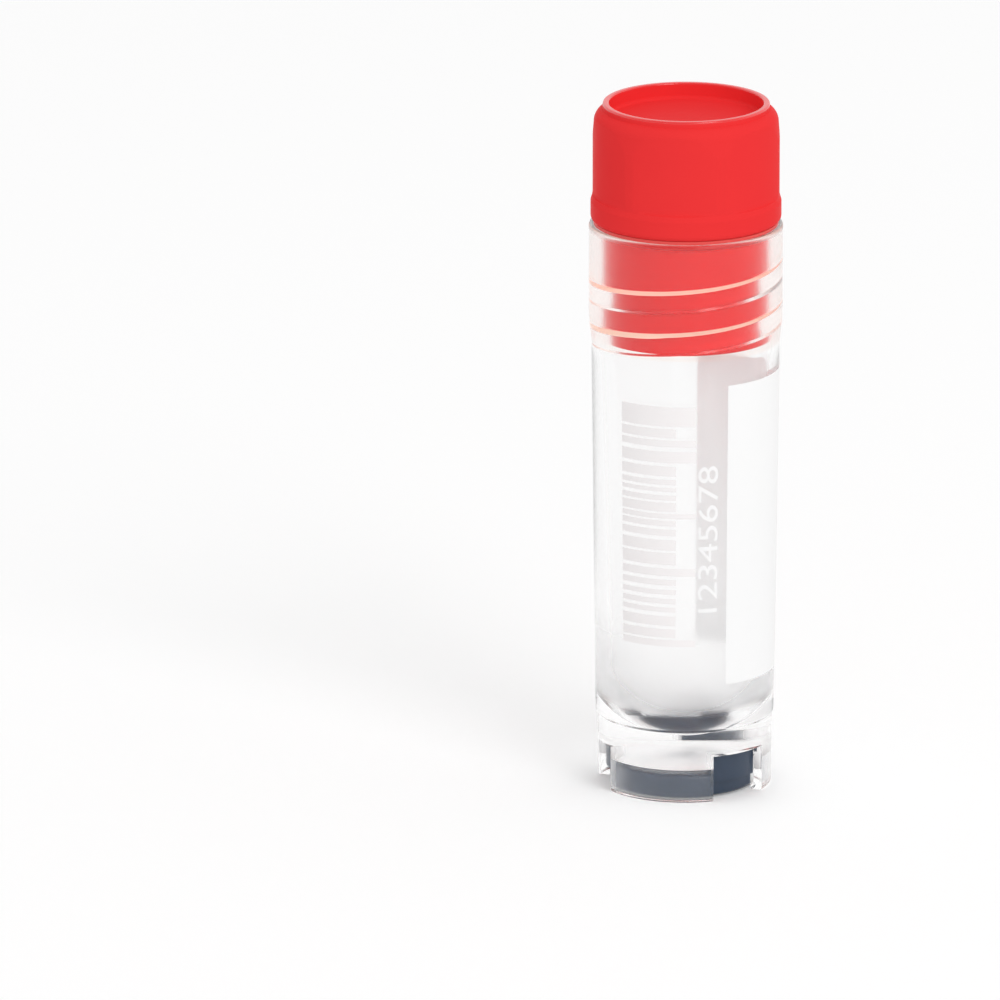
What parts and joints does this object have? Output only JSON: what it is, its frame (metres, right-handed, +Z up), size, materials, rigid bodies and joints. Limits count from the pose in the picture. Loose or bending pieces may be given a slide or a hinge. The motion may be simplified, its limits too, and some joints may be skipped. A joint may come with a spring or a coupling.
{
  "type": "cryovial",
  "caption": "Self-standing translucent tube with a round bottom, a notched skirt with a code disc, and an internally threaded screw cap with a hollow plug.",
  "frame": {"origin": "middle of the base, on the surface that the vial stands on", "axes": "+Z up along the vial's axis; -Y is the front, where the strip of digits is; +X is the right as seen from the front"},
  "size_m": [0.0126, 0.0126, 0.0455],
  "materials": {
    "clear_polypropylene": "clear to milky moulded polypropylene",
    "red_polypropylene": "satin moulded polypropylene",
    "silicone": "translucent silicone",
    "black_polypropylene": "satin moulded polypropylene"
  },
  "bodies": {
    "vial": {"vial": "clear_polypropylene", "code_insert": "black_polypropylene"},
    "seal": {"sealing_washer": "silicone"},
    "cap": {"screw_cap": "red_polypropylene"}
  },
  "joints": [
    {"name": "cap_lift", "type": "slide", "parent": "vial", "child": "seal", "axis": [0, 0, 1], "range_m": [0, 0.0084]},
    {"name": "cap_turn", "type": "hinge", "parent": "seal", "child": "cap", "pos_m": [0, 0, 0.0377], "axis": [0, 0, 1], "range_deg": [0, 1083]}
  ],
  "couplings": [
    {"joint": "cap_turn", "follows": "cap_lift", "rad_per_m": 2244}
  ]
}
